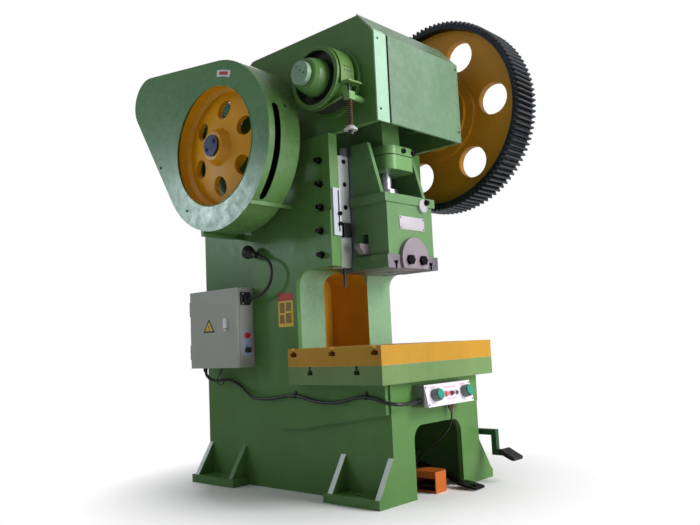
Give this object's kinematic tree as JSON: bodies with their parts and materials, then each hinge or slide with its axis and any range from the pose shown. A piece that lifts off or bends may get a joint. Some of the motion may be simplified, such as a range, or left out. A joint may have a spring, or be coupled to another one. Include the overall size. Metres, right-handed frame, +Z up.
{
  "type": "mechanical stamping press",
  "caption": "Open-front crank stamping press: welded C-frame, geared crank with flywheel and belt drive, guided ram over a slotted bolster, band brake, two-hand and foot controls.",
  "frame": {"origin": "centre of the footprint's bounding box, on the floor", "axes": "+Z up; the operator stands at -Y and faces +Y, where the motor is; +X is at the operator's right, the side of the main gear"},
  "size_m": [1.516, 2.1056, 2.8833],
  "materials": {
    "press_green": "semi-gloss",
    "deep_green": "semi-gloss",
    "orange_paint": "semi-gloss",
    "bolster_yellow": "satin, worn on top",
    "band_yellow": "satin",
    "turned_steel": "turned",
    "dark_steel": "oiled",
    "ground_steel": "ground",
    "scale_white": "bright",
    "bronze": "turned",
    "bolt_black": "black oxide",
    "spring_steel": "aged",
    "cup_white": "satin",
    "belt_rubber": "matte",
    "cabinet_grey": "powder coat",
    "black_plastic": "matte",
    "lens_red": "glossy",
    "lens_clear": "clear",
    "conduit_sheath": "satin",
    "cable_sheath": "matte",
    "panel_white": "powder coat",
    "collar_grey": "satin",
    "cap_teal": "glossy",
    "button_red": "glossy",
    "button_dark": "glossy",
    "gland_brown": "satin",
    "hood_orange": "semi-gloss",
    "pedal_dark": "worn",
    "lever_black": "worn"
  },
  "bodies": {
    "press_frame": {"frame_weldment": "press_green", "head_cover": "press_green", "bed_table": "press_green", "belt_guard": "press_green", "guard_struts": "press_green", "motor_bracket": "press_green", "motor": "press_green", "treadle_pins": "deep_green", "brake_anchor": "deep_green", "bolster_plate": "bolster_yellow", "brake_band": "band_yellow", "gibs": "turned_steel", "brake_rod": "dark_steel", "stop_block": "dark_steel", "ejector_rod": "dark_steel", "scale_plate": "scale_white", "shaft_bushes": "bronze", "adjusting_bolts": "bolt_black", "brake_spring": "spring_steel", "spring_cup": "cup_white", "drive_belts": "belt_rubber", "cabinet": "cabinet_grey", "lamp_gooseneck": "black_plastic", "lamp_head": "black_plastic", "cable_clips": "black_plastic", "signal_lamps": "lens_red", "lamp_lens": "lens_clear", "side_conduit": "conduit_sheath", "foot_cable": "cable_sheath", "control_box": "panel_white", "palm_rings": "collar_grey", "cable_gland": "gland_brown", "foot_switch": "hood_orange"},
    "crank": {"crankshaft": "turned_steel", "brake_drum": "press_green", "clutch_collar": "dark_steel"},
    "main_gear": {"big_gear": "orange_paint"},
    "flywheel_set": {"drive_shaft": "turned_steel", "pinion": "dark_steel", "flywheel": "orange_paint", "shaft_nut": "dark_steel"},
    "rotor": {"motor_pulley": "orange_paint"},
    "slide": {"ram": "press_green", "ram_sole": "ground_steel", "shank_clamp": "ground_steel", "clamp_bolts": "bolt_black", "connecting_rod": "press_green", "adjusting_screw": "turned_steel", "ball_seat_ring": "turned_steel"},
    "knockout": {"knockout_bar": "ground_steel"},
    "door": {"cabinet_door": "cabinet_grey"},
    "latch": {"door_latch": "black_plastic"},
    "selector": {"cabinet_switch": "black_plastic"},
    "palm_left": {"palm_button_left": "cap_teal"},
    "palm_right": {"palm_button_right": "cap_teal"},
    "stop_push": {"stop_button": "button_red"},
    "start_push": {"start_button": "button_dark"},
    "pedal": {"foot_pedal": "pedal_dark"},
    "treadle": {"side_treadle": "deep_green"},
    "lever": {"arch_lever": "lever_black"}
  },
  "joints": [
    {"name": "crank_turn", "type": "hinge", "parent": "press_frame", "child": "crank", "pos_m": [0, -0.4315, 2.262], "axis": [-1, 0, 0], "range_deg": [0, 180]},
    {"name": "ram_slide", "type": "slide", "parent": "press_frame", "child": "slide", "axis": [0, 0, 1], "range_m": [-0.13, 0]},
    {"name": "flywheel_turn", "type": "hinge", "parent": "press_frame", "child": "flywheel_set", "pos_m": [0, 0.23, 1.9934], "axis": [1, 0, 0], "continuous": true},
    {"name": "gear_turn", "type": "hinge", "parent": "press_frame", "child": "main_gear", "pos_m": [0, -0.4315, 2.262], "axis": [1, 0, 0], "continuous": true},
    {"name": "motor_turn", "type": "hinge", "parent": "press_frame", "child": "rotor", "pos_m": [-0.6, 0.8855, 2.415], "axis": [1, 0, 0], "continuous": true},
    {"name": "knockout_lift", "type": "slide", "parent": "slide", "child": "knockout", "axis": [0, 0, 1], "range_m": [0, 0.055]},
    {"name": "door_swing", "type": "hinge", "parent": "press_frame", "child": "door", "pos_m": [-0.532, 0.7755, 0.94], "axis": [0, 0, -1], "range_deg": [0, 110]},
    {"name": "latch_turn", "type": "hinge", "parent": "door", "child": "latch", "pos_m": [-0.541, 0.4075, 0.965], "axis": [1, 0, 0], "range_deg": [0, 90]},
    {"name": "selector_turn", "type": "hinge", "parent": "press_frame", "child": "selector", "pos_m": [-0.471, 0.3035, 0.807], "axis": [0, 1, 0], "range_deg": [0, 90]},
    {"name": "palm_left_push", "type": "slide", "parent": "press_frame", "child": "palm_left", "axis": [0, 0.9745, -0.2242], "range_m": [0, 0.006], "stiffness_N_per_m": 900, "springref_m": -0.004},
    {"name": "palm_right_push", "type": "slide", "parent": "press_frame", "child": "palm_right", "axis": [0, 0.9745, -0.2242], "range_m": [0, 0.006], "stiffness_N_per_m": 900, "springref_m": -0.004},
    {"name": "stop_press", "type": "slide", "parent": "press_frame", "child": "stop_push", "axis": [0, 0.9745, -0.2242], "range_m": [0, 0.004], "stiffness_N_per_m": 500, "springref_m": -0.003},
    {"name": "start_press", "type": "slide", "parent": "press_frame", "child": "start_push", "axis": [0, 0.9745, -0.2242], "range_m": [0, 0.004], "stiffness_N_per_m": 500, "springref_m": -0.003},
    {"name": "pedal_tilt", "type": "hinge", "parent": "press_frame", "child": "pedal", "pos_m": [0.041, -0.6465, 0.0385], "axis": [0, -1, 0], "range_deg": [0, 8], "stiffness_Nm_per_rad": 9, "springref_deg": -8.02},
    {"name": "treadle_tilt", "type": "hinge", "parent": "press_frame", "child": "treadle", "pos_m": [0.43, -0.5015, 0.272], "axis": [1, 0, 0], "range_deg": [0, 10], "stiffness_Nm_per_rad": 80, "springref_deg": -20.05},
    {"name": "lever_lift", "type": "hinge", "parent": "press_frame", "child": "lever", "pos_m": [0.152, -0.2815, 0.15], "axis": [1, 0, 0], "range_deg": [-6, 0]}
  ],
  "couplings": [
    {"joint": "ram_slide", "follows": "crank_turn", "m_per_rad": -0.04138},
    {"joint": "gear_turn", "follows": "flywheel_turn", "ratio": -0.16964},
    {"joint": "motor_turn", "follows": "flywheel_turn", "ratio": 4.6483}
  ]
}
